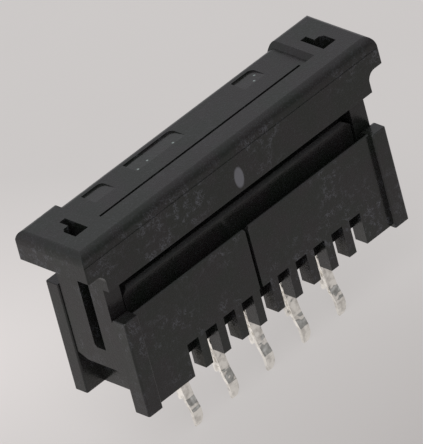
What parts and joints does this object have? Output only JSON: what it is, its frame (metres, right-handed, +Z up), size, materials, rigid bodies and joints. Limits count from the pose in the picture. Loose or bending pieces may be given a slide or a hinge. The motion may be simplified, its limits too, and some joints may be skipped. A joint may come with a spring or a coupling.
{
  "type": "fpc connector",
  "caption": "Top-entry connector for a flat flexible cable, with a lift-up slider raised and two staggered rows of solder tails.",
  "frame": {"origin": "middle of the housing's footprint on the face of the circuit board", "axes": "+X along the row of contacts towards circuit ten, +Y from the comb wall to the back plate, +Z up, away from the board and the way the cable comes out"},
  "size_m": [0.0202, 0.0052, 0.0128],
  "materials": {
    "housing_black": "moulded black thermoplastic, satin, with fine scuffs",
    "slider_black": "moulded black thermoplastic, satin, edges rubbed pale",
    "tinned_contact": "satin tin plate over copper alloy strip"
  },
  "bodies": {
    "base": {"housing": "housing_black", "contact_01": "tinned_contact", "contact_02": "tinned_contact", "contact_03": "tinned_contact", "contact_04": "tinned_contact", "contact_05": "tinned_contact", "contact_06": "tinned_contact", "contact_07": "tinned_contact", "contact_08": "tinned_contact", "contact_09": "tinned_contact", "contact_10": "tinned_contact"},
    "lock": {"slider": "slider_black"}
  },
  "joints": [
    {"name": "slider_lift", "type": "slide", "parent": "base", "child": "lock", "axis": [0, 0, 1], "range_m": [-0.0018, 0]}
  ]
}
